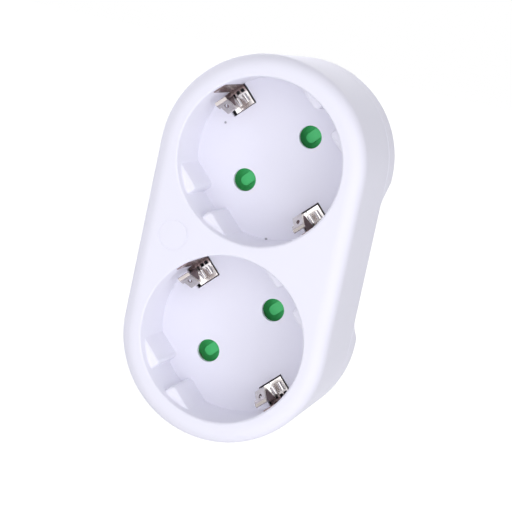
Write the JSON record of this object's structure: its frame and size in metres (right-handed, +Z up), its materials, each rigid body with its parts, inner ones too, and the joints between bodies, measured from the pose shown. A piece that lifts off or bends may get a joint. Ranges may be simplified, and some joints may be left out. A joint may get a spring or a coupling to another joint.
{
  "type": "two-way earthed socket adapter",
  "caption": "Oblong white plug-in adapter with round earthed sockets one above the other, sprung earth clips, sliding green safety shutters and a round-pin plug on its back.",
  "frame": {"origin": "middle of the plug, on the plane of the housing's back face", "axes": "+Y out of the back along the plug's pins, +Z up along the two sockets, -Y out of the front"},
  "size_m": [0.0494, 0.076, 0.0916],
  "materials": {
    "white_plastic": "smooth moulded, satin gloss",
    "green_plastic": "smooth moulded",
    "natural_plastic": "natural moulded",
    "spring_steel": "drawn wire",
    "plated_strip": "nickel-plated pressed strip",
    "plated_pin": "nickel-plated turned brass",
    "brass_strip": "pressed brass",
    "zinc_screw": "bright zinc"
  },
  "bodies": {
    "housing": {"front_housing": "white_plastic", "rear_housing": "white_plastic", "shutter_guide_upper": "natural_plastic", "shutter_guide_lower": "natural_plastic", "shutter_spring_upper": "spring_steel", "shutter_spring_lower": "spring_steel", "earth_clip_upper": "plated_strip", "earth_clip_lower": "plated_strip", "earth_bridge": "brass_strip", "earth_rivets": "brass_strip", "plug_earth_contact_top": "plated_strip", "plug_earth_contact_bottom": "plated_strip", "plug_pin_left": "plated_pin", "plug_pin_right": "plated_pin", "bus_bar_left": "brass_strip", "bus_bar_right": "brass_strip", "pin_contact_upper_left": "brass_strip", "pin_contact_upper_right": "brass_strip", "pin_contact_lower_left": "brass_strip", "pin_contact_lower_right": "brass_strip", "contact_rivets": "brass_strip", "housing_screws": "zinc_screw"},
    "upper_shutter": {"shutter_upper": "green_plastic"},
    "lower_shutter": {"shutter_lower": "green_plastic"}
  },
  "joints": [
    {"name": "upper_shutter_slide", "type": "slide", "parent": "housing", "child": "upper_shutter", "axis": [0.7071, 0, 0.7071], "range_m": [0, 0.0064], "stiffness_N_per_m": 200, "springref_m": -0.004, "deforming": ["shutter_spring_upper"]},
    {"name": "lower_shutter_slide", "type": "slide", "parent": "housing", "child": "lower_shutter", "axis": [0.7071, 0, 0.7071], "range_m": [0, 0.0064], "stiffness_N_per_m": 200, "springref_m": -0.004, "deforming": ["shutter_spring_lower"]}
  ]
}
